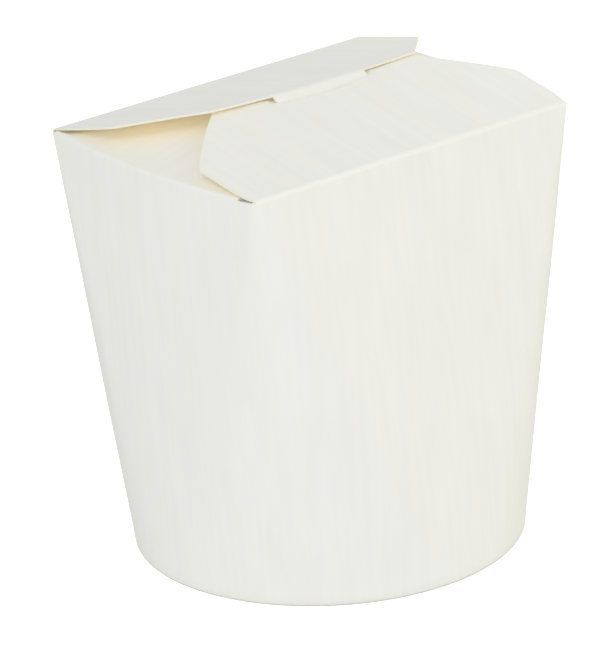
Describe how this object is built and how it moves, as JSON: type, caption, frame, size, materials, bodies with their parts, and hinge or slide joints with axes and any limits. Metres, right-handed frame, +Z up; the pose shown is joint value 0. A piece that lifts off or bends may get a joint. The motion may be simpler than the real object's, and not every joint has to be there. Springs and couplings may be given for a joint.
{
  "type": "noodle takeaway box",
  "caption": "Shut takeaway noodle box of plain white paperboard: round foot, tall wall that turns into a rectangular top, and folded flaps locked by a tongue in a slit.",
  "frame": {"origin": "middle of the round foot, on the surface that the box stands on", "axes": "+Z up; +X along the straight folds of the top, the long way; -Y towards the front, where the front flap with the slit is hinged"},
  "size_m": [0.0954, 0.09, 0.1086],
  "materials": {
    "coated_paperboard": "bright white coated paperboard, smooth with a faint sheen, cream where it is cut",
    "base_paperboard": "matt white paperboard"
  },
  "bodies": {
    "root": {"box_wrap": "coated_paperboard", "base_disc": "base_paperboard"}
  },
  "joints": []
}
